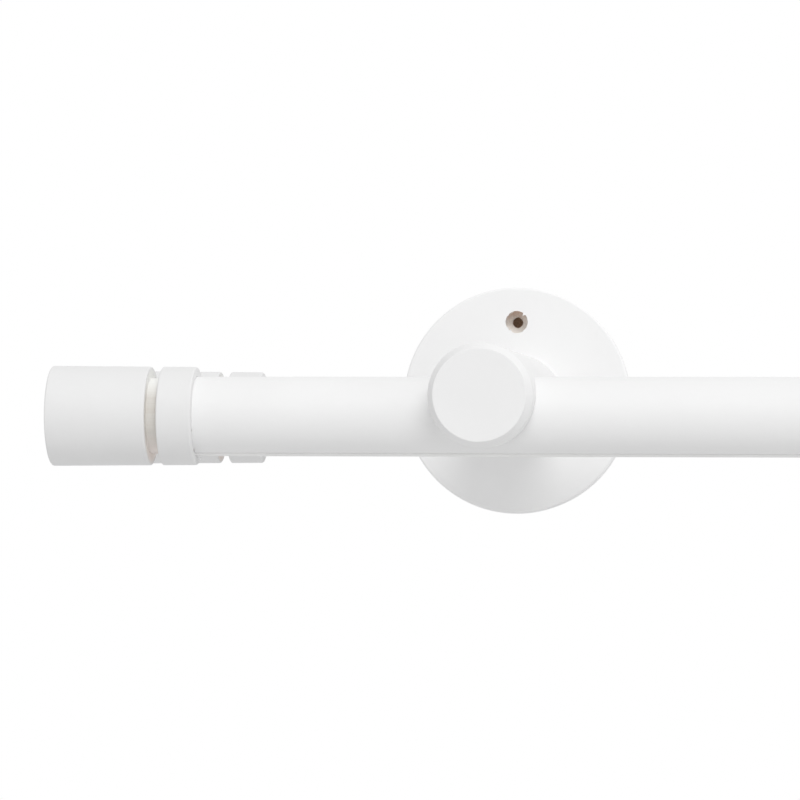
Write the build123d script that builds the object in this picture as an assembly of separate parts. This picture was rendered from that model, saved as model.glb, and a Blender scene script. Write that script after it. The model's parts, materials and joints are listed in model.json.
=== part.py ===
from build123d import *
import os

# Double curtain rod: two round wooden rods, each with a glider track let into its underside, carried one in
# front of the other by two wooden wall brackets and closed by turned finials.
# The origin is the centre of the left wall plate's back face. +X runs along the rods to the right, +Y points
# into the wall, and +Z is up. Lengths are in millimetres.

# Rods
ROD_DIAMETER = 28.0
ROD_LENGTH = 1000.0  # front rod
REAR_ROD_INSET = 9.2  # each end of the rear rod stops this far inside the front rod's end
REAR_ROD_FROM_WALL = 70.0
ROD_SPACING = 105.0
ROD_DROP = 7.2  # rod axes below the arms' axis
ROD_CLEARANCE = 0.15  # around a rod in its arm
BRACKET_FROM_FINIAL = 103.0  # arm axis to the inner end of the front finial

# Glider track
TRACK_WIDTH = 9.6
TRACK_HEIGHT = 9.8
TRACK_WALL = 1.3
TRACK_LIP = 1.5  # thickness of the lips that carry the gliders
TRACK_SLOT = 4.0
TRACK_PROUD = 0.35  # the rounded underside stands this far out from the rod
TRACK_CORNER = 0.4
TRACK_CLEARANCE = 0.1  # around the track in its groove

# Gliders
GLIDER_COUNT = 8  # on each rod
GLIDER_LENGTH = 9.0
GLIDER_HEAD_HEIGHT = 3.0
GLIDER_HEAD_CORNER = 1.8
GLIDER_EDGE = 0.4
GLIDER_NECK_LENGTH = 4.4
GLIDER_SIDE_CLEARANCE = 0.3
GLIDER_LIFT = 0.1  # head above the lips that it slides on
GLIDER_DROP = 1.0  # eye below the track
EYE_DIAMETER = 9.4
EYE_HOLE = 5.0
EYE_THICKNESS = 3.0
GLIDER_PARK = 135.0  # first glider from the nearer arm's axis
GLIDER_GAP = 4.6  # between parked gliders

# Finials
FINIAL_HEAD = 35.6
FINIAL_GROOVE = 4.1
FINIAL_COLLAR = 12.3
FINIAL_STEP = 3.45  # the collar stands this far out from the rod
FINIAL_FLARE = 0.4  # the outer end stands this much further out
FINIAL_GROOVE_DEPTH = 4.0
FINIAL_WEB = 4.3  # wood between the rod's end and the groove
FINIAL_EDGE = 0.6
SOCKET_CLEARANCE = 0.1

# Wall plates
PLATE_DIAMETER = 90.2
PLATE_THICKNESS = 13.0
PLATE_EDGE = 0.9
PLATE_BACK_EDGE = 0.5
WALL_SCREW_COUNT = 3
WALL_SCREW_FROM_RIM = 13.8
WALL_SCREW_HOLE = 4.5
WALL_SCREW_RECESS = 9.0
WALL_SCREW_SEAT = 7.0  # wood behind a screw's head

# Arms
ARM_DIAMETER = 36.4
ARM_NOSE = 34.0  # front face ahead of the front rod's axis
ARM_BEVEL_WIDTH = 2.0
ARM_BEVEL_LENGTH = 4.4
ARM_EDGE = 0.4
TENON_DIAMETER = 20.0
TENON_SEAT = 7.0  # wood behind the tenon
TENON_CLEARANCE = 0.05
TENON_END_GAP = 0.3
GLIDER_PASSAGE = 2.5  # free width under an arm on each side of the track

# Wood screws
ARM_SCREW_SHANK = 5.0
ARM_SCREW_HEAD = 9.6
ARM_SCREW_COVER = 10.0  # wood between the screw's tip and the rear rod
LOCK_SCREW_SHANK = 3.5
LOCK_SCREW_HEAD = 7.0
LOCK_SCREW_BITE = 7.0  # length in the rod
DOWEL_SCREW_SHANK = 5.0
DOWEL_SCREW_LENGTH = 36.0
DOWEL_SCREW_COVER = 1.95  # wood between the screw and the track's groove
SCREW_SUNK = 0.8  # flat of a head below the surface that it sits in
SCREW_RIM = 0.4  # straight edge of a head
SCREW_CLEARANCE = 0.05
RECESS_SHARE = 0.5  # length of the cross in a head, as a share of the head's diameter
RECESS_WIDTH = 0.9
RECESS_DEPTH = 1.6

# Places that follow from the sizes above
ROD_RADIUS = ROD_DIAMETER / 2
ROD_FROM_WALL = {"front": REAR_ROD_FROM_WALL + ROD_SPACING, "rear": REAR_ROD_FROM_WALL}
ROD_INSET = {"front": 0.0, "rear": REAR_ROD_INSET}
FINIAL_LENGTH = FINIAL_HEAD + FINIAL_GROOVE + FINIAL_COLLAR
FINIAL_SOCKET = FINIAL_COLLAR - FINIAL_WEB
ROD_LEFT = -(BRACKET_FROM_FINIAL + FINIAL_SOCKET)
ROD_RIGHT = ROD_LEFT + ROD_LENGTH
ARM_X = {"left": 0.0, "right": ROD_LEFT + ROD_RIGHT}
ARM_END = ROD_FROM_WALL["front"] + ARM_NOSE
ARM_RADIUS = ARM_DIAMETER / 2
ARM_SCREW_LENGTH = REAR_ROD_FROM_WALL - ROD_RADIUS - ROD_CLEARANCE - ARM_SCREW_COVER - SCREW_SUNK
LOCK_SCREW_LENGTH = ARM_RADIUS - SCREW_SUNK + ROD_DROP - ROD_RADIUS + LOCK_SCREW_BITE
WALL_SCREW_CIRCLE = PLATE_DIAMETER - 2 * WALL_SCREW_FROM_RIM
TRACK_BOTTOM = -(ROD_RADIUS + TRACK_PROUD)
GROOVE_TOP = TRACK_BOTTOM + TRACK_HEIGHT + TRACK_CLEARANCE
CHANNEL_WIDTH = TRACK_WIDTH - 2 * TRACK_WALL
DOWEL_SCREW_RISE = GROOVE_TOP + DOWEL_SCREW_COVER + DOWEL_SCREW_SHANK / 2
GLIDER_PITCH = max(EYE_DIAMETER, GLIDER_LENGTH) + GLIDER_GAP


def turned(*corners):
    """Solid of revolution about X; each corner is (along X, radius, rounding)."""
    points = [(along, radius) for along, radius, _ in corners]
    outline = FilletPolyline(*points, radius=[rounding for _, _, rounding in corners], close=True)
    return revolve(make_face(outline), Axis.X)


def bar(section, start, end):
    """Section drawn across the rod (Y to the right, Z up), drawn out along X."""
    return extrude(Plane.YZ.offset(start) * section, end - start)


def rod_ends(row):
    """X of both ends of a rod."""
    return ROD_LEFT + ROD_INSET[row], ROD_RIGHT - ROD_INSET[row]


def on_rod(row):
    """Place on a rod's axis, level with the left arm."""
    return Pos(0, -ROD_FROM_WALL[row], -ROD_DROP)


def out_of_wall(side):
    """Place at an arm's axis on the wall, with the piece's X axis pointing out of the wall."""
    return Pos(ARM_X[side], 0, 0) * Rot(0, 0, -90)


def over_rod(row, side):
    """Place of a lock screw's head on top of an arm, with the piece's X axis pointing down."""
    return Pos(ARM_X[side], -ROD_FROM_WALL[row], ARM_RADIUS - SCREW_SUNK) * Rot(0, 90, 0)


def wood_screw(shank, head, length):
    """Countersunk screw along X, with the flat of its head at the origin."""
    cone_end = SCREW_RIM + (head - shank) / 2
    body = turned(
        (0, 0, 0),
        (0, head / 2, 0),
        (SCREW_RIM, head / 2, 0),
        (cone_end, shank / 2, 0),
        (length - shank, shank / 2, 0),
        (length, 0, 0),
    )
    span = RECESS_SHARE * head
    recess = Box(2 * RECESS_DEPTH, span, RECESS_WIDTH) + Box(2 * RECESS_DEPTH, RECESS_WIDTH, span)
    return body - recess


def screw_hole(shank, head, length, access):
    """Room for a wood screw, open for the given length in front of its head."""
    shank_radius = shank / 2 + SCREW_CLEARANCE
    head_radius = head / 2 + SCREW_CLEARANCE
    cone_end = SCREW_RIM + (head - shank) / 2
    return turned(
        (-access, 0, 0),
        (-access, head_radius, 0),
        (SCREW_RIM, head_radius, 0),
        (cone_end, shank_radius, 0),
        (length, shank_radius, 0),
        (length, 0, 0),
    )


def arm_screw_hole():
    """Room for the screw that joins a plate and an arm, from the plate's back."""
    hole = screw_hole(ARM_SCREW_SHANK, ARM_SCREW_HEAD, ARM_SCREW_LENGTH, 2 * SCREW_SUNK)
    return Pos(SCREW_SUNK, 0, 0) * hole


def lock_screw_hole():
    """Room for the screw that locks a rod in an arm."""
    return screw_hole(LOCK_SCREW_SHANK, LOCK_SCREW_HEAD, LOCK_SCREW_LENGTH, 2 * SCREW_SUNK)


def dowel_screw_hole():
    """Room for both ends of a finial's dowel screw, above the rod's axis by the screw's rise."""
    reach = DOWEL_SCREW_LENGTH / 2
    radius = DOWEL_SCREW_SHANK / 2 + SCREW_CLEARANCE
    hole = turned((-reach, 0, 0), (-reach, radius, 0), (reach, radius, 0), (reach, 0, 0))
    return Pos(0, 0, DOWEL_SCREW_RISE) * hole


def rod(row):
    """Round rod, grooved along its underside for the track."""
    start, end = rod_ends(row)
    groove = Rectangle(TRACK_WIDTH + 2 * TRACK_CLEARANCE, 2 * TRACK_HEIGHT)
    groove = Pos(0, GROOVE_TOP - TRACK_HEIGHT) * groove
    body = on_rod(row) * bar(Circle(ROD_RADIUS) - groove, start, end)
    for x in (start, end):
        body -= on_rod(row) * Pos(x, 0, 0) * dowel_screw_hole()
    for side in ARM_X:
        body -= over_rod(row, side) * lock_screw_hole()
    return body


def track(row):
    """Extruded channel with two lips, let into the rod between the finials and as round as the rod below."""
    start, end = rod_ends(row)
    shell = Pos(0, TRACK_BOTTOM) * Rectangle(TRACK_WIDTH, 2 * TRACK_HEIGHT) & Circle(ROD_RADIUS + TRACK_PROUD)
    shell = fillet(shell.vertices(), TRACK_CORNER)
    channel_height = TRACK_HEIGHT - TRACK_WALL - TRACK_LIP
    channel = Pos(0, TRACK_BOTTOM + TRACK_LIP + channel_height / 2) * Rectangle(CHANNEL_WIDTH, channel_height)
    slot = Pos(0, TRACK_BOTTOM) * Rectangle(TRACK_SLOT, 2 * TRACK_LIP)
    return on_rod(row) * bar(shell - channel - slot, start + FINIAL_SOCKET, end - FINIAL_SOCKET)


def finial():
    """Turned end piece along X, from its outer face to the face on the rod."""
    inner = ROD_RADIUS + FINIAL_STEP
    outer = inner + FINIAL_FLARE
    neck = inner - FINIAL_GROOVE_DEPTH
    socket = ROD_RADIUS + SOCKET_CLEARANCE
    groove_end = FINIAL_HEAD + FINIAL_GROOVE
    seat = FINIAL_LENGTH - FINIAL_SOCKET

    def skin(along):
        return outer + (inner - outer) * along / FINIAL_LENGTH

    body = turned(
        (0, 0, 0),
        (0, outer, FINIAL_EDGE),
        (FINIAL_HEAD, skin(FINIAL_HEAD), FINIAL_EDGE),
        (FINIAL_HEAD, neck, 0),
        (groove_end, neck, 0),
        (groove_end, skin(groove_end), FINIAL_EDGE),
        (FINIAL_LENGTH, inner, FINIAL_EDGE),
        (FINIAL_LENGTH, socket, 0),
        (seat, socket, 0),
        (seat, 0, 0),
    )
    return body - Pos(seat, 0, 0) * dowel_screw_hole()


def at_rod_end(row, side):
    """Place of a finial's outer face, with the piece's X axis pointing along the rod."""
    start, end = rod_ends(row)
    overhang = FINIAL_LENGTH - FINIAL_SOCKET
    if side == "left":
        return on_rod(row) * Pos(start - overhang, 0, 0)
    return on_rod(row) * Pos(end + overhang, 0, 0) * Rot(0, 0, 180)


def dowel_screw():
    """Double-ended screw along X, centred on the joint between rod and finial."""
    reach = DOWEL_SCREW_LENGTH / 2
    radius = DOWEL_SCREW_SHANK / 2
    shank = reach - DOWEL_SCREW_SHANK
    screw = turned((-reach, 0, 0), (-shank, radius, 0), (shank, radius, 0), (reach, 0, 0))
    return Pos(0, 0, DOWEL_SCREW_RISE) * screw


def wall_plate(side):
    """Round plate with a seat for the arm's tenon and a ring of sunk screw holes."""
    radius = PLATE_DIAMETER / 2
    seat_radius = TENON_DIAMETER / 2 + TENON_CLEARANCE
    seat = TENON_SEAT - TENON_END_GAP
    plate = turned(
        (0, 0, 0),
        (0, radius, PLATE_BACK_EDGE),
        (PLATE_THICKNESS, radius, PLATE_EDGE),
        (PLATE_THICKNESS, seat_radius, 0),
        (seat, seat_radius, 0),
        (seat, 0, 0),
    )
    plate -= arm_screw_hole()
    cone_end = WALL_SCREW_SEAT - (WALL_SCREW_RECESS - WALL_SCREW_HOLE) / 2
    hole = turned(
        (-PLATE_THICKNESS, 0, 0),
        (-PLATE_THICKNESS, WALL_SCREW_HOLE / 2, 0),
        (cone_end, WALL_SCREW_HOLE / 2, 0),
        (WALL_SCREW_SEAT, WALL_SCREW_RECESS / 2, 0),
        (2 * PLATE_THICKNESS, WALL_SCREW_RECESS / 2, 0),
        (2 * PLATE_THICKNESS, 0, 0),
    )
    for index in range(WALL_SCREW_COUNT):
        turn = 360 * index / WALL_SCREW_COUNT
        plate -= Rot(turn, 0, 0) * Pos(0, 0, WALL_SCREW_CIRCLE / 2) * hole
    return out_of_wall(side) * plate


def arm(side):
    """Round arm with a tenon for the plate and two cross bores that leave the rods' undersides free."""
    bevel_start = ARM_END - ARM_BEVEL_LENGTH
    body = turned(
        (TENON_SEAT, 0, 0),
        (TENON_SEAT, TENON_DIAMETER / 2, 0),
        (PLATE_THICKNESS, TENON_DIAMETER / 2, 0),
        (PLATE_THICKNESS, ARM_RADIUS, 0),
        (bevel_start, ARM_RADIUS, ARM_EDGE),
        (ARM_END, ARM_RADIUS - ARM_BEVEL_WIDTH, ARM_EDGE),
        (ARM_END, 0, 0),
    )
    body = out_of_wall(side) * (body - arm_screw_hole())
    passage = Pos(0, -ARM_DIAMETER / 2) * Rectangle(TRACK_WIDTH + 2 * GLIDER_PASSAGE, ARM_DIAMETER)
    bore = bar(Circle(ROD_RADIUS + ROD_CLEARANCE) + passage, -ARM_DIAMETER, ARM_DIAMETER)
    for row in ROD_FROM_WALL:
        body -= Pos(ARM_X[side], 0, 0) * on_rod(row) * bore
        body -= over_rod(row, side) * lock_screw_hole()
    return body


def glider():
    """Runner whose head slides on the track's lips, with an eye for a curtain hook; X = 0 at its middle."""
    head_width = CHANNEL_WIDTH - 2 * GLIDER_SIDE_CLEARANCE
    head_bottom = TRACK_BOTTOM + TRACK_LIP + GLIDER_LIFT
    head = Box(GLIDER_LENGTH, head_width, GLIDER_HEAD_HEIGHT)
    head = Pos(0, 0, head_bottom + GLIDER_HEAD_HEIGHT / 2) * head
    head = fillet(head.edges().filter_by(Axis.Z), GLIDER_HEAD_CORNER)
    head = fillet(head.faces().sort_by(Axis.Z)[-1].edges(), GLIDER_EDGE)
    eye_centre = TRACK_BOTTOM - GLIDER_DROP - EYE_DIAMETER / 2
    neck_height = head_bottom - eye_centre
    neck_width = TRACK_SLOT - 2 * GLIDER_SIDE_CLEARANCE
    neck = Pos(0, 0, eye_centre + neck_height / 2) * Box(GLIDER_NECK_LENGTH, neck_width, neck_height)
    across = Pos(0, 0, eye_centre) * Rot(90, 0, 0)
    eye = Cylinder(EYE_DIAMETER / 2, EYE_THICKNESS)
    eye = across * fillet(eye.edges().filter_by(GeomType.CIRCLE), GLIDER_EDGE)
    hole = across * Cylinder(EYE_HOLE / 2, 2 * EYE_THICKNESS)
    return head + neck + eye - hole


def glider_x(row, index):
    """Parked place of a glider: at the left on the front rod, at the right on the rear rod."""
    from_arm = GLIDER_PARK + index * GLIDER_PITCH
    return {"front": ARM_X["left"] + from_arm, "rear": ARM_X["right"] - from_arm}[row]


nodes = {}
for row in ROD_FROM_WALL:
    nodes[f"{row}_rod"] = rod(row)
    nodes[f"{row}_track"] = track(row)
    for side in ARM_X:
        nodes[f"{row}_finial_{side}"] = at_rod_end(row, side) * finial()
    for index in range(GLIDER_COUNT):
        nodes[f"{row}_glider_{index + 1}"] = on_rod(row) * Pos(glider_x(row, index), 0, 0) * glider()
for side in ARM_X:
    nodes[f"wall_plate_{side}"] = wall_plate(side)
    nodes[f"bracket_arm_{side}"] = arm(side)

places = [(row, side) for row in ROD_FROM_WALL for side in ARM_X]
dowel_seat = Pos(FINIAL_LENGTH - FINIAL_SOCKET, 0, 0)
arm_screw = Pos(SCREW_SUNK, 0, 0) * wood_screw(ARM_SCREW_SHANK, ARM_SCREW_HEAD, ARM_SCREW_LENGTH)
lock_screw = wood_screw(LOCK_SCREW_SHANK, LOCK_SCREW_HEAD, LOCK_SCREW_LENGTH)
nodes["finial_dowel_screws"] = Compound([at_rod_end(*place) * dowel_seat * dowel_screw() for place in places])
nodes["rod_lock_screws"] = Compound([over_rod(*place) * lock_screw for place in places])
nodes["arm_screws"] = Compound([out_of_wall(side) * arm_screw for side in ARM_X])

os.makedirs("parts", exist_ok=True)
for name, shape in nodes.items():
    export_step(shape, f"parts/{name}.step")
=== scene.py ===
import json
import math
import random

import bmesh
import bpy
from mathutils import Color, Matrix, Vector


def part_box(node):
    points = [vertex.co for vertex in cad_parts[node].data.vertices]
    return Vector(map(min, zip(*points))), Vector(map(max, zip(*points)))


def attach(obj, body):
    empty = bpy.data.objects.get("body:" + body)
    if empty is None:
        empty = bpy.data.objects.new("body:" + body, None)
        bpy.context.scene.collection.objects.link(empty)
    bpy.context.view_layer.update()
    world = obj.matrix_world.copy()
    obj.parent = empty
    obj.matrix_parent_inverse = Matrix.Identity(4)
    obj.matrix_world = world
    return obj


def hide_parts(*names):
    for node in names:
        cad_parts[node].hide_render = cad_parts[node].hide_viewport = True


# The looks of a double curtain rod: white lacquered wood with bare wood in its grooves and screw holes,
# white plastic tracks and gliders, and zinc-plated screws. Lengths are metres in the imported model's frame.

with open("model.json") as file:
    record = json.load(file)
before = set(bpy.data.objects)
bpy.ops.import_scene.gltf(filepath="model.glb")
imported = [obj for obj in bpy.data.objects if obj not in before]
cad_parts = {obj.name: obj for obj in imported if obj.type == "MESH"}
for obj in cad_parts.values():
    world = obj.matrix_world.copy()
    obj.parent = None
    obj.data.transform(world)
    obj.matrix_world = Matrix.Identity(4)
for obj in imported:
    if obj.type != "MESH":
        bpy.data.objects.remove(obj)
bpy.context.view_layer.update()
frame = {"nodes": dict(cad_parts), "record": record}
nodes = frame["nodes"]
mounts = {mount["name"]: mount for mount in frame["record"]["mounts"]}
ROOT = "rods_and_brackets"
ROWS = ("front", "rear")
SIDES = ("left", "right")
MM = 0.001

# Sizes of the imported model, written out where its boxes and mounts don't give them
ROD_RADIUS = 14.0 * MM
TRACK_CLEARANCE = 0.1 * MM
FINIAL_HEAD = 35.6 * MM
FINIAL_GROOVE = 4.1 * MM
FINIAL_NECK_RADIUS = 13.45 * MM
RECESS_RADIUS = 4.5 * MM  # of a screw hole's wide mouth
HOLE_NECK = 4.75 * MM  # from the plate's back to the narrow end of a screw hole's cone
HOLE_RADIUS = mounts["left_wall_screws"]["dims"]["hole_r_mm"] * MM

# Camera, fitted to the photograph
CAMERA_PLACE = Vector((92.8, -1421.2, -13.7)) * MM
CAMERA_YAW = math.radians(5.656)  # to the left of straight ahead
CAMERA_PITCH = math.radians(0.562)  # upwards
CAMERA_ROLL = math.radians(0.118)  # anticlockwise
CAMERA_LENS = 159.31
SENSOR_WIDTH = 36.0

# Light
SUN_FROM = Vector((0.22, -0.73, 0.62))
SUN_STRENGTH = 0.97
SUN_ANGLE = math.radians(30)
AMBIENT = 0.68
AMBIENT_TILT = (0.2, 0.0, 0.09)  # more of it from the right and from above
WHITE = (1.0, 1.0, 1.0)

# Floor
FLOOR_SEEN = (0.92, 0.92, 0.92)
FLOOR_BOUNCE = (0.76, 0.76, 0.76)
FLOOR_ROUGHNESS = 0.9
FLOOR_Z = -0.45
FLOOR_LEFT, FLOOR_RIGHT = -6.0, 7.0
FLOOR_FRONT, FLOOR_BACK = -8.0, 2.3  # the back edge stays below the photograph's view
FLOOR_CENTRE = (0.39, -1.0, FLOOR_Z)
FLOOR_FADES, FLOOR_GONE = 2.2, 3.3  # from the centre, where the floor passes into the white surroundings

# Noise in the finishes, as cells per metre, or as cells along the grain and across it
WOOD_FIBRES = (40.0, 1300.0)
WOOD_RINGS = (9.0, 160.0)
FIBRE_SHARE, RING_SHARE = 0.55, 0.45
RING_WAVES = 1.5
LACQUER_CLOUDS = 35.0
LACQUER_GLOSS = 220.0
LACQUER_PEEL = 900.0
LACQUER_GRAIN = (30.0, 700.0)
BARE_FIBRES = (60.0, 2200.0)
CHIP_EDGE = 4000.0
GROOVE_EDGE = 1500.0
HOLE_EDGE = 1100.0
HOLE_TONES = 1600.0
HOLE_PORES = 2500.0
PLASTIC_CLOUDS = 60.0
DRAWING_LINES = (6.0, 1800.0)
ZINC_SPOTS = 900.0
ZINC_SCRATCHES = (300.0, 3000.0)
OCTAVES, FEW_OCTAVES, MANY_OCTAVES = 3.0, 2.0, 4.0
SOFT, CRISP = (0.3, 0.7), (0.35, 0.65)  # values of a noise that are drawn out to its full range

# Depths of the finishes' relief
PEEL_DEPTH = 0.007 * MM
GRAIN_DEPTH = 0.006 * MM
FIBRE_DEPTH = 0.06 * MM
LINE_DEPTH = 0.008 * MM
SCRATCH_DEPTH = 0.01 * MM

# Roughness of the finishes
LACQUER_ROUGHNESS = (0.52, 0.62)
BARE_ROUGHER = 0.35  # than the lacquer round it
TORN_ROUGHNESS = 0.8
PORE_ROUGHNESS = 0.9
TRACK_ROUGHNESS = 0.45
GLIDER_ROUGHNESS = 0.35
PLASTIC_UNEVEN = 0.06
ZINC_ROUGHNESS = (0.28, 0.42)

# Chips in the paint that the photograph shows, as place and radius
CHIPS = {
    "front_finial_left": (((-0.103, -0.1885, -0.0123), 0.5 * MM), ((-0.103, -0.1829, -0.0192), 0.8 * MM)),
    "wall_plate_left": (((-0.0177, -0.0126, 0.0396), 0.4 * MM),),
}
CHIP_SOFT = 0.15 * MM
CHIP_RAGGED = 0.12 * MM

# Bare wood in a finial's groove: its edges, how far up its walls it reaches, and its tones by height:
# whitewash at the top and pink bare wood at the bottom, both made paler as painted light against the
# groove's shade
GROOVE_SOFT = 0.1 * MM
GROOVE_RAGGED = 0.15 * MM
WALL_BARE, WALL_PAINTED = 2.4 * MM, 3.6 * MM
TONE_STARTS, TONE_FULL = 6.0 * MM, 12.0 * MM

# Bare wood of a wall plate: its edges, and its tones across a screw hole from -1 to 1: painted shade, brown,
# on the hole's upper side, and pale overspray with painted light on its lower side
HOLE_SOFT = 0.05 * MM
HOLE_RAGGED = 0.25 * MM
BACK_PAINTED, BACK_BARE = -0.6 * MM, -0.3 * MM  # depths between which the paint ends at the back
# painted shade falls on this side of a screw hole, painted light on the other
SHADED_SIDE = Vector((-0.1, 0.0, 0.995))
SHADE_STARTS, SHADE_FULL = 0.25, 1.0
LIGHT_STARTS, LIGHT_FULL = 0.3, -0.4
TONE_NOISE = 0.2

# Meshes
ROD_STEPS = 160
LIP_ROUNDING = 0.3 * MM
LIP_STEPS = 3
ROUND_PROFILE = 0.5
SHARP_ANGLE = math.radians(30)

# Thin sheet of darker wood at the back end of a screw hole, standing in for the shade deep in the hole
BOTTOM_RINGS = 5
BOTTOM_STEPS = 24
BOTTOM_SKIN = 0.5 * MM
BOTTOM_TORN = 0.25 * MM
BOTTOM_BACK = 0.1 * MM

# Ragged rings in a screw hole: lacquer at its mouth and torn fibres at its neck
RING_STEPS = 120
RING_TURNS = [math.tau * step / RING_STEPS for step in range(RING_STEPS)]
RING_RAGGED = 0.15 * MM
RING_SEAT = 0.15 * MM
RING_PROUD = 0.06 * MM
RING_DEPTH = 0.15 * MM
TONGUES = (  # of lacquer, as turn and reach
    (0.75, 1.0 * MM),
    (2.4, 0.2 * MM),
    (3.75, 0.8 * MM),
    (4.1, 0.5 * MM),
    (5.4, 0.3 * MM),
)
TONGUE_SPREAD = 0.07
TORN_SHARE = 0.3  # how far a torn hole is from round to a square on its corner


def colour(code):
    """Linear colour of a six-digit code such as D9C8B8."""
    return tuple(Color([byte / 255 for byte in bytes.fromhex(code)]).from_srgb_to_scene_linear())


# Colours, each as a light and a dark tone or as one tone
# lighter than the arm and rod paint: painted light on the wall plates
PLATE_PAINT_LIT = colour("F8F8F8"), colour("F6F6F6")
ARM_PAINT = colour("F2F2F2"), colour("F0F0F0")
# darker than the arm and rod paint: painted shade for light that falls off towards the finials
FINIAL_PAINT_SHADED = colour("EAEAEA"), colour("E7E7E7")
ROD_PAINT = colour("F2F2F2"), colour("F0F0F0")
BARE_WOOD = colour("F4EFEA"), colour("E2D6CC")
WASHED_WOOD = colour("E6E4E0"), colour("DFDBD5")
# darker wood of the sheet in each screw hole: painted shade for the hole's depth
SHADE_SHEET_WOOD = colour("B3947C"), colour("927660")
# painted shade: brown on the upper side of a screw hole's recess
PAINTED_SHADE_BROWN = colour("D3B8A6")
# whitewash and pink bare wood in a finial's groove, both made paler as painted light
PINK_WOOD_AND_LIGHT = colour("F4EEEA")
WHITE_WASH_AND_LIGHT = colour("F6F6F4")
# overspray and painted light: pale on the lower side of a screw hole's recess
OVERSPRAY_AND_LIGHT = colour("FFFBF6")
CHIPPED_WOOD = colour("A69F99")
PLASTIC = colour("F2F2F1"), colour("ECECEB")
ZINC = colour("C9C9C4"), colour("A8A8A4")


class Nodes:
    """The nodes of a material or of the world, with a short call for each kind of node used here."""

    MIX_FACTOR, MIX_FIRST, MIX_SECOND, MIX_RESULT = 0, 6, 7, 2  # sockets of a mix of colours

    def __init__(self, owner):
        owner.use_nodes = True
        self.tree = owner.node_tree

    def add(self, kind, **settings):
        node = self.tree.nodes.new(kind)
        for key, value in settings.items():
            setattr(node, key, value)
        return node

    def put(self, value, socket):
        """Gives a socket a number, a colour or another node's output."""
        if isinstance(value, bpy.types.NodeSocket):
            self.tree.links.new(value, socket)
        elif isinstance(value, tuple) and socket.type == "RGBA":
            socket.default_value = (*value, 1.0)
        else:
            socket.default_value = value

    def maths(self, operation, *values):
        node = self.add("ShaderNodeMath", operation=operation)
        for value, socket in zip(values, node.inputs):
            self.put(value, socket)
        return node.outputs[0]

    def vector(self, operation, *values):
        """Outputs of a vector operation: a vector comes first, and a number is Value."""
        node = self.add("ShaderNodeVectorMath", operation=operation)
        for value, socket in zip(values, node.inputs):
            self.put(value, socket)
        return node.outputs

    def mix(self, factor, first, second):
        """Colour between two colours."""
        node = self.add("ShaderNodeMix", data_type="RGBA")
        self.put(factor, node.inputs[self.MIX_FACTOR])
        self.put(first, node.inputs[self.MIX_FIRST])
        self.put(second, node.inputs[self.MIX_SECOND])
        return node.outputs[self.MIX_RESULT]

    def seen_directly(self):
        """1 for what the camera, a reflection or glass sees, 0 for light that bounces."""
        rays = self.add("ShaderNodeLightPath").outputs
        seen = self.maths("MAXIMUM", rays["Is Camera Ray"], rays["Is Glossy Ray"])
        return self.maths("MAXIMUM", seen, rays["Is Transmission Ray"])


class Shader(Nodes):
    """A material's nodes; place is where a point lies in the model's frame."""

    def __init__(self, name):
        self.material = bpy.data.materials.new(name)
        super().__init__(self.material)
        self.surface = self.tree.nodes["Principled BSDF"].inputs
        self.place = self.add("ShaderNodeTexCoord").outputs["Object"]

    def axes(self):
        """X, Y and Z of the place, as three sockets."""
        node = self.add("ShaderNodeSeparateXYZ")
        self.put(self.place, node.inputs[0])
        return node.outputs

    def away(self, centre):
        """Distance of the place from a point."""
        return self.vector("DISTANCE", self.place, centre)["Value"]

    def noise(self, cells, detail=OCTAVES, waves=0.0):
        """Noise with that many cells per metre: one number, or three for stretched cells."""
        node = self.add("ShaderNodeTexNoise")
        where, scale = self.place, cells
        if isinstance(cells, tuple):
            where, scale = self.vector("MULTIPLY", self.place, cells)[0], 1.0
        self.put(where, node.inputs["Vector"])
        self.put(scale, node.inputs["Scale"])
        self.put(detail, node.inputs["Detail"])
        self.put(waves, node.inputs["Distortion"])
        return node.outputs["Fac"]

    def span(self, value, start, end, low=0.0, high=1.0):
        """Value drawn out so that start..end becomes low..high, held at both ends."""
        node = self.add("ShaderNodeMapRange")
        for given, socket in zip((value, start, end, low, high), node.inputs):
            self.put(given, socket)
        return node.outputs[0]

    def uneven(self, cells, low=0.0, high=1.0):
        """Noise that wanders between low and high."""
        return self.span(self.noise(cells), *SOFT, low, high)

    def spots(self, cells):
        """Finely broken noise from 0 to 1."""
        return self.span(self.noise(cells, MANY_OCTAVES), *CRISP)

    def bump(self, height, depth, normal=None):
        node = self.add("ShaderNodeBump")
        self.put(height, node.inputs["Height"])
        self.put(depth, node.inputs["Distance"])
        if normal:
            self.put(normal, node.inputs["Normal"])
        return node.outputs[0]

    def see_through(self, share):
        """Makes the surface transparent by that share."""
        output = self.tree.nodes["Material Output"].inputs["Surface"]
        solid = output.links[0].from_socket
        clear = self.add("ShaderNodeBsdfTransparent").outputs[0]
        both = self.add("ShaderNodeMixShader")
        for given, socket in zip((share, solid, clear), both.inputs):
            self.put(given, socket)
        self.put(both.outputs[0], output)

    def set(self, **values):
        """Sets the surface's sockets, named with _ for a space."""
        for key, value in values.items():
            self.put(value, self.surface[key.replace("_", " ")])


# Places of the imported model

def rod_axis(row):
    """Y and Z of a rod's axis."""
    low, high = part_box(f"{row}_rod")
    return (low.y + high.y) / 2, high.z - ROD_RADIUS


def groove_ends(row, side):
    """X of the two ends of a finial's groove."""
    low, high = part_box(f"{row}_finial_{side}")
    if side == "left":
        start = low.x + FINIAL_HEAD
        return start, start + FINIAL_GROOVE
    end = high.x - FINIAL_HEAD
    return end - FINIAL_GROOVE, end


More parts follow.
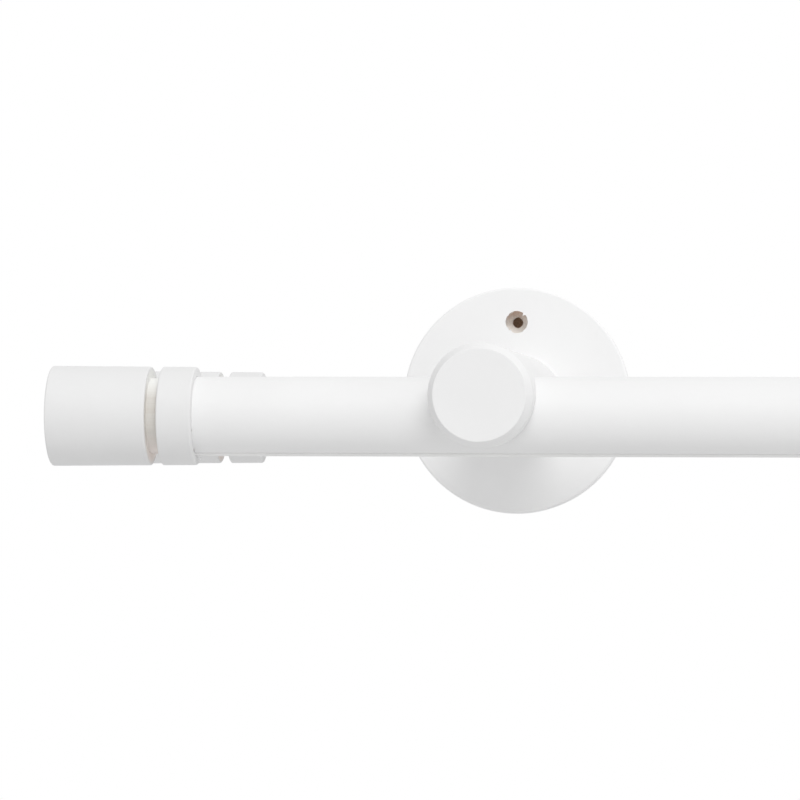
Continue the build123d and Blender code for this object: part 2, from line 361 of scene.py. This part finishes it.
def hole_places(side):
    """Centres of a plate's screw holes, as (x, z)."""
    pattern = mounts[f"{side}_wall_screws"]
    x, _, z = pattern["pos_m"]
    count = pattern["dims"]["count"]
    radius = pattern["dims"]["pcd_mm"] / 2 * MM
    for index in range(count):
        turn = math.tau * index / count
        yield x + radius * math.sin(turn), z + radius * math.cos(turn)


# Materials

def stretched(cells, axis):
    """Cells of a noise as X, Y and Z, from cells along an axis and across it."""
    along, across = cells
    return tuple(along if name == axis else across for name in "XYZ")


def wood_colour(shader, axis, light, dark):
    """Wood with its fibres along an axis."""
    fibres = shader.noise(stretched(WOOD_FIBRES, axis), MANY_OCTAVES)
    rings = shader.noise(stretched(WOOD_RINGS, axis), FEW_OCTAVES, RING_WAVES)
    streaks = shader.maths("MULTIPLY_ADD", fibres, FIBRE_SHARE, shader.maths("MULTIPLY", rings, RING_SHARE))
    return shader.mix(shader.span(streaks, *CRISP), dark, light)


def chipped(shader, paint, chips):
    """Paint with small dark chips, each given as its place and radius."""
    ragged = shader.uneven(CHIP_EDGE, -CHIP_RAGGED, CHIP_RAGGED)
    for place, radius in chips:
        edge = shader.maths("ADD", shader.away(place), ragged)
        paint = shader.mix(shader.span(edge, radius - CHIP_SOFT, radius, 1.0, 0.0), paint, CHIPPED_WOOD)
    return paint


def lacquer(name, axis, paints, bare=None, woods=BARE_WOOD, chips=(), shade=None):
    """Satin white lacquer on wood with its grain along an axis.

    bare(shader) is the mask of unpainted wood, and shade(shader, wood) gives that wood's colour its tones,
    which paint light and shade into it.
    """
    shader = Shader(name)
    light, dark = paints
    paint = shader.mix(shader.uneven(LACQUER_CLOUDS), dark, light)
    if chips:
        paint = chipped(shader, paint, chips)
    gloss = shader.uneven(LACQUER_GLOSS, *LACQUER_ROUGHNESS)
    peel = shader.bump(shader.noise(LACQUER_PEEL, FEW_OCTAVES), PEEL_DEPTH)
    normal = shader.bump(shader.noise(stretched(LACQUER_GRAIN, axis)), GRAIN_DEPTH, peel)
    if bare is None:
        shader.set(Base_Color=paint, Roughness=gloss, Normal=normal)
        return shader.material
    mask = bare(shader)
    fibres = shader.noise(stretched(BARE_FIBRES, axis), MANY_OCTAVES)
    wood = wood_colour(shader, axis, *woods)
    if shade:
        wood = shade(shader, wood)
    shader.set(
        Base_Color=shader.mix(mask, paint, wood),
        Roughness=shader.maths("MULTIPLY_ADD", mask, BARE_ROUGHER, gloss),
        Normal=shader.bump(shader.maths("MULTIPLY", fibres, mask), FIBRE_DEPTH, normal),
    )
    return shader.material


def groove_bare(row, side):
    """Mask of the bare groove of a finial."""
    start, end = groove_ends(row, side)
    y, z = rod_axis(row)

    def mask(shader):
        ragged = shader.uneven(GROOVE_EDGE, -GROOVE_RAGGED, GROOVE_RAGGED)
        along = shader.maths("ADD", shader.axes()["X"], ragged)
        rise = shader.span(along, start - 2 * GROOVE_SOFT, start - GROOVE_SOFT)
        fall = shader.span(along, end + GROOVE_SOFT, end + 2 * GROOVE_SOFT, 1.0, 0.0)
        off = shader.vector("SUBTRACT", shader.place, (0.0, y, z))[0]
        across = shader.vector("MULTIPLY", off, (0.0, 1.0, 1.0))[0]
        radius = shader.vector("LENGTH", across)["Value"]
        wall = shader.maths("SUBTRACT", radius, FINIAL_NECK_RADIUS)
        deep = shader.span(wall, WALL_BARE, WALL_PAINTED, 1.0, 0.0)
        return shader.maths("MULTIPLY", shader.maths("MULTIPLY", rise, fall), deep)

    return mask


def groove_painted_light(row):
    """Tones of the wood in a finial's groove: whiter at its top and pinker at its bottom, both paler than
    the groove's wood as painted light against the shade in the groove.
    """
    _, z = rod_axis(row)

    def shade(shader, wood):
        height = shader.maths("SUBTRACT", shader.axes()["Z"], z)
        # painted light: paler towards the top and the bottom of the groove
        wood = shader.mix(shader.span(height, TONE_STARTS, TONE_FULL), wood, WHITE_WASH_AND_LIGHT)
        return shader.mix(shader.span(height, -TONE_STARTS, -TONE_FULL), wood, PINK_WOOD_AND_LIGHT)

    return shade


def flat_place(shader):
    """Place seen from the front, with no depth."""
    return shader.vector("MULTIPLY", shader.place, (1.0, 0.0, 1.0))[0]


def plate_bare(side):
    """Mask of the bare wood of a wall plate: in its screw holes and on its back."""

    def mask(shader):
        ragged = shader.uneven(HOLE_EDGE, -HOLE_RAGGED, HOLE_RAGGED)
        flat = flat_place(shader)
        found = shader.span(shader.axes()["Y"], BACK_PAINTED, BACK_BARE)
        for x, z in hole_places(side):
            away = shader.vector("DISTANCE", flat, (x, 0.0, z))["Value"]
            edge = shader.maths("ADD", away, ragged)
            hole = shader.span(edge, RECESS_RADIUS - HOLE_SOFT, RECESS_RADIUS + HOLE_SOFT, 1.0, 0.0)
            found = shader.maths("MAXIMUM", found, hole)
        return found

    return mask


def hole_painted_shade(side):
    """Painted shade and light on the wood in a plate's screw holes: brown painted shade on the upper side,
    pale overspray and painted light on the lower side.
    """

    def shade(shader, wood):
        flat = flat_place(shader)
        tone = shader.uneven(HOLE_TONES, -TONE_NOISE, TONE_NOISE)
        for x, z in hole_places(side):
            off = shader.vector("SUBTRACT", flat, (x, 0.0, z))[0]
            across = shader.vector("DOT_PRODUCT", off, tuple(SHADED_SIDE / RECESS_RADIUS))["Value"]
            away = shader.vector("LENGTH", off)["Value"]
            inside = shader.span(away, RECESS_RADIUS, 2 * RECESS_RADIUS, 1.0, 0.0)
            tone = shader.maths("MULTIPLY_ADD", across, inside, tone)
        # pale overspray and painted light on the lower side, then brown painted shade on the upper side
        wood = shader.mix(shader.span(tone, LIGHT_STARTS, LIGHT_FULL), wood, OVERSPRAY_AND_LIGHT)
        return shader.mix(shader.span(tone, SHADE_STARTS, SHADE_FULL), wood, PAINTED_SHADE_BROWN)

    return shade


def plastic(name, axis, roughness):
    """White plastic with faint drawing lines along an axis."""
    shader = Shader(name)
    light, dark = PLASTIC
    lines = shader.noise(stretched(DRAWING_LINES, axis), FEW_OCTAVES)
    shader.set(
        Base_Color=shader.mix(shader.uneven(PLASTIC_CLOUDS), dark, light),
        Roughness=shader.span(lines, *SOFT, roughness - PLASTIC_UNEVEN, roughness + PLASTIC_UNEVEN),
        Normal=shader.bump(lines, LINE_DEPTH),
    )
    return shader.material


def zinc():
    """Zinc-plated steel with fine scratches."""
    shader = Shader("zinc_plate")
    light, dark = ZINC
    scratches = shader.noise(stretched(ZINC_SCRATCHES, "Z"))
    shader.set(
        Base_Color=shader.mix(shader.spots(ZINC_SPOTS), dark, light),
        Metallic=1.0,
        Roughness=shader.span(scratches, *SOFT, *ZINC_ROUGHNESS),
        Normal=shader.bump(scratches, SCRATCH_DEPTH),
    )
    return shader.material


def shade_sheet_wood():
    """Darker wood with pores, for the sheet that closes a screw hole: painted shade for the depth of the
    hole.
    """
    shader = Shader("hole_bottom")
    light, dark = SHADE_SHEET_WOOD
    shader.set(Base_Color=shader.mix(shader.spots(HOLE_PORES), dark, light), Roughness=PORE_ROUGHNESS)
    return shader.material


def torn_fibres():
    """Pale torn wood at the neck of a screw hole."""
    shader = Shader("torn_fibres")
    shader.set(Base_Color=wood_colour(shader, "Z", *BARE_WOOD), Roughness=TORN_ROUGHNESS)
    return shader.material


def dress(node, material):
    nodes[node].material_slots[0].material = material


# Pieces

def add_object(name, data):
    made = bpy.data.objects.new(name, data)
    bpy.context.scene.collection.objects.link(made)
    return made


def new_piece(name, shape, material):
    """Piece of the rods and brackets made of a closed bmesh, smooth except at its sharp edges."""
    bmesh.ops.recalc_face_normals(shape, faces=shape.faces)
    mesh = bpy.data.meshes.new(name)
    shape.to_mesh(mesh)
    shape.free()
    mesh.polygons.foreach_set("use_smooth", [True] * len(mesh.polygons))
    mesh.set_sharp_from_angle(angle=SHARP_ANGLE)
    mesh.materials.append(material)
    piece = add_object(name, mesh)
    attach(piece, ROOT)
    return piece


def join_loops(shape, loop, ahead):
    """Faces between two closed loops with as many points each."""
    for i in range(len(loop)):
        j = (i + 1) % len(loop)
        shape.faces.new((loop[i], loop[j], ahead[j], ahead[i]))


def rod_section(row):
    """Outline of a grooved rod as (y, z), from the groove's front lip over the top to its back lip."""
    y, z = rod_axis(row)
    low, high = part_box(f"{row}_track")
    half = (high.y - low.y) / 2 + TRACK_CLEARANCE
    groove_top = high.z + TRACK_CLEARANCE
    lip = math.asin(half / ROD_RADIUS)
    turns = [lip + (math.tau - 2 * lip) * step / ROD_STEPS for step in range(ROD_STEPS + 1)]
    skin = [(y + ROD_RADIUS * math.sin(turn), z - ROD_RADIUS * math.cos(turn)) for turn in turns]
    return skin + [(y - half, groove_top), (y + half, groove_top)]


def rod_mesh(row, material):
    """Rod of one row, drawn finely, in the place of its CAD node."""
    low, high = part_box(f"{row}_rod")
    shape = bmesh.new()
    start, end = [[shape.verts.new((x, y, z)) for y, z in rod_section(row)] for x in (low.x, high.x)]
    join_loops(shape, start, end)
    shape.faces.new(start[::-1])
    shape.faces.new(end)
    lips = [shape.edges.get((start[i], end[i])) for i in (0, ROD_STEPS)]
    bmesh.ops.bevel(
        shape, geom=lips, offset=LIP_ROUNDING, segments=LIP_STEPS, affect="EDGES", profile=ROUND_PROFILE,
    )
    piece = new_piece(f"{row}_rod_fine", shape, material)
    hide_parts(f"{row}_rod")


def hole_bottom(name, x, z, material):
    """Thin torn sheet of darker wood that closes a wall screw's hole at the plate's back, standing in for
    the shade deep in the open hole.
    """
    draw = random.Random(name)
    turns = [math.tau * step / BOTTOM_STEPS for step in range(BOTTOM_STEPS)]
    shape = bmesh.new()
    rings = []
    for ring in range(1, BOTTOM_RINGS + 1):
        radius = HOLE_RADIUS * ring / BOTTOM_RINGS
        torn = 0.0 if ring == BOTTOM_RINGS else BOTTOM_TORN
        depths = [-BOTTOM_SKIN - torn * draw.random() for _ in turns]
        points = [(x + radius * math.sin(t), y, z + radius * math.cos(t)) for t, y in zip(turns, depths)]
        rings.append([shape.verts.new(point) for point in points])
    rings.append([shape.verts.new((v.co.x, -BOTTOM_BACK, v.co.z)) for v in rings[-1]])
    for inner, outer in zip(rings, rings[1:]):
        join_loops(shape, inner, outer)
    shape.faces.new(rings[0])
    shape.faces.new(rings[-1])
    new_piece(name, shape, material)


def ragged_ring(name, x, z, radius, face, reaches, material):
    """Thin ring round a screw hole, on a face at that depth, with a ragged edge inside the hole."""
    draw = random.Random(name)
    shape = bmesh.new()
    outer, front, back = radius + RING_SEAT, face - RING_PROUD, face + RING_DEPTH
    loops = []
    for turn, reach in zip(RING_TURNS, reaches):
        inner = radius - reach - RING_RAGGED * draw.random()
        corners = (outer, face), (radius, front), (inner, front), (inner, back), (outer, back)
        points = [(x + r * math.sin(turn), y, z + r * math.cos(turn)) for r, y in corners]
        loops.append([shape.verts.new(point) for point in points])
    for loop, ahead in zip(loops, loops[1:] + loops[:1]):
        join_loops(shape, loop, ahead)
    new_piece(name, shape, material)


def tongue_reach(turn):
    """How far the lacquer's edge reaches into a hole at a turn: not at all apart from a few tongues."""
    offs = [((turn - middle + math.pi) % math.tau - math.pi, size) for middle, size in TONGUES]
    return sum(size * math.exp(-(off / TONGUE_SPREAD) ** 2) for off, size in offs)


def torn_reach(turn):
    """How far torn fibres reach into a hole's neck at a turn: most between up, down and the sides."""
    square = 1 / (abs(math.sin(turn)) + abs(math.cos(turn)))
    return HOLE_RADIUS * TORN_SHARE * (1 - square)


# Stage

def floor():
    """Pale floor, clear from below, that passes into the white surroundings far out."""
    shader = Shader("floor")
    seen = shader.seen_directly()
    shader.set(Base_Color=shader.mix(seen, FLOOR_BOUNCE, FLOOR_SEEN), Roughness=FLOOR_ROUGHNESS)
    far = shader.maths("MULTIPLY", shader.span(shader.away(FLOOR_CENTRE), FLOOR_FADES, FLOOR_GONE), seen)
    below = shader.add("ShaderNodeNewGeometry").outputs["Backfacing"]
    shader.see_through(shader.maths("MAXIMUM", far, below))
    corners = [
        (FLOOR_LEFT, FLOOR_FRONT, FLOOR_Z),
        (FLOOR_RIGHT, FLOOR_FRONT, FLOOR_Z),
        (FLOOR_RIGHT, FLOOR_BACK, FLOOR_Z),
        (FLOOR_LEFT, FLOOR_BACK, FLOOR_Z),
    ]
    mesh = bpy.data.meshes.new("floor")
    mesh.from_pydata(corners, [], [range(len(corners))])
    mesh.materials.append(shader.material)
    add_object("floor", mesh)


def sun():
    lamp = bpy.data.lights.new("sun", "SUN")
    lamp.energy = SUN_STRENGTH
    lamp.angle = SUN_ANGLE
    add_object("sun", lamp).rotation_euler = SUN_FROM.to_track_quat("Z", "Y").to_euler()


def surroundings():
    """White all round where seen directly, and a soft light elsewhere."""
    world = bpy.data.worlds.new("studio")
    sky = Nodes(world)
    towards = sky.add("ShaderNodeTexCoord").outputs["Generated"]
    ambient = sky.maths("ADD", sky.vector("DOT_PRODUCT", towards, AMBIENT_TILT)["Value"], AMBIENT)
    background = sky.tree.nodes["Background"].inputs["Color"]
    sky.put(sky.mix(sky.seen_directly(), ambient, WHITE), background)
    bpy.context.scene.world = world


def camera():
    sin, cos = math.sin, math.cos
    level = Vector((cos(CAMERA_YAW), sin(CAMERA_YAW), 0.0))
    forward = Vector((-sin(CAMERA_YAW), cos(CAMERA_YAW), 0.0))
    ahead = cos(CAMERA_PITCH) * forward + sin(CAMERA_PITCH) * Vector((0.0, 0.0, 1.0))
    above = level.cross(ahead)
    right = cos(CAMERA_ROLL) * level + sin(CAMERA_ROLL) * above
    up = cos(CAMERA_ROLL) * above - sin(CAMERA_ROLL) * level
    lens = bpy.data.cameras.new("camera")
    lens.lens = CAMERA_LENS
    lens.sensor_width = SENSOR_WIDTH
    view = add_object("camera", lens)
    view.matrix_world = Matrix.Translation(CAMERA_PLACE) @ Matrix((right, up, -ahead)).transposed().to_4x4()
    bpy.context.scene.camera = view


# Wall plates, arms and finials
shade_sheet_brown = shade_sheet_wood()
torn_wood = torn_fibres()
burr_paint = lacquer("burr_lacquer", "Z", PLATE_PAINT_LIT)
burr_reaches = [tongue_reach(turn) for turn in RING_TURNS]
torn_reaches = [torn_reach(turn) for turn in RING_TURNS]
for side in SIDES:
    plate = f"wall_plate_{side}"
    chips = CHIPS.get(plate, ())
    dress(plate, lacquer(
        f"{plate}_lacquer", "Z", PLATE_PAINT_LIT, plate_bare(side), BARE_WOOD, chips, hole_painted_shade(side),
    ))
    dress(f"bracket_arm_{side}", lacquer(f"arm_lacquer_{side}", "Y", ARM_PAINT))
    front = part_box(plate)[0].y
    for number, (x, z) in enumerate(hole_places(side), 1):
        spot = f"{side}_{number}"
        hole_bottom(f"hole_bottom_{spot}", x, z, shade_sheet_brown)
        ragged_ring(f"hole_burr_{spot}", x, z, RECESS_RADIUS, front, burr_reaches, burr_paint)
        ragged_ring(f"hole_fibres_{spot}", x, z, HOLE_RADIUS, -HOLE_NECK, torn_reaches, torn_wood)
    for row in ROWS:
        finial = f"{row}_finial_{side}"
        chips = CHIPS.get(finial, ())
        bare = groove_bare(row, side)
        dress(finial, lacquer(
            f"{finial}_lacquer", "X", FINIAL_PAINT_SHADED, bare, WASHED_WOOD, chips, groove_painted_light(row),
        ))

# Rods, tracks, gliders and screws
rod_lacquer = lacquer("rod_lacquer", "X", ROD_PAINT)
track_plastic = plastic("track_plastic", "X", TRACK_ROUGHNESS)
glider_plastic = plastic("glider_plastic", "Z", GLIDER_ROUGHNESS)
zinc_plate = zinc()
for row in ROWS:
    rod_mesh(row, rod_lacquer)
    dress(f"{row}_track", track_plastic)
for node in nodes:
    if "glider" in node:
        dress(node, glider_plastic)
    if "screws" in node:
        dress(node, zinc_plate)

floor()
sun()
surroundings()
camera()
bpy.context.scene.view_settings.view_transform = "Standard"
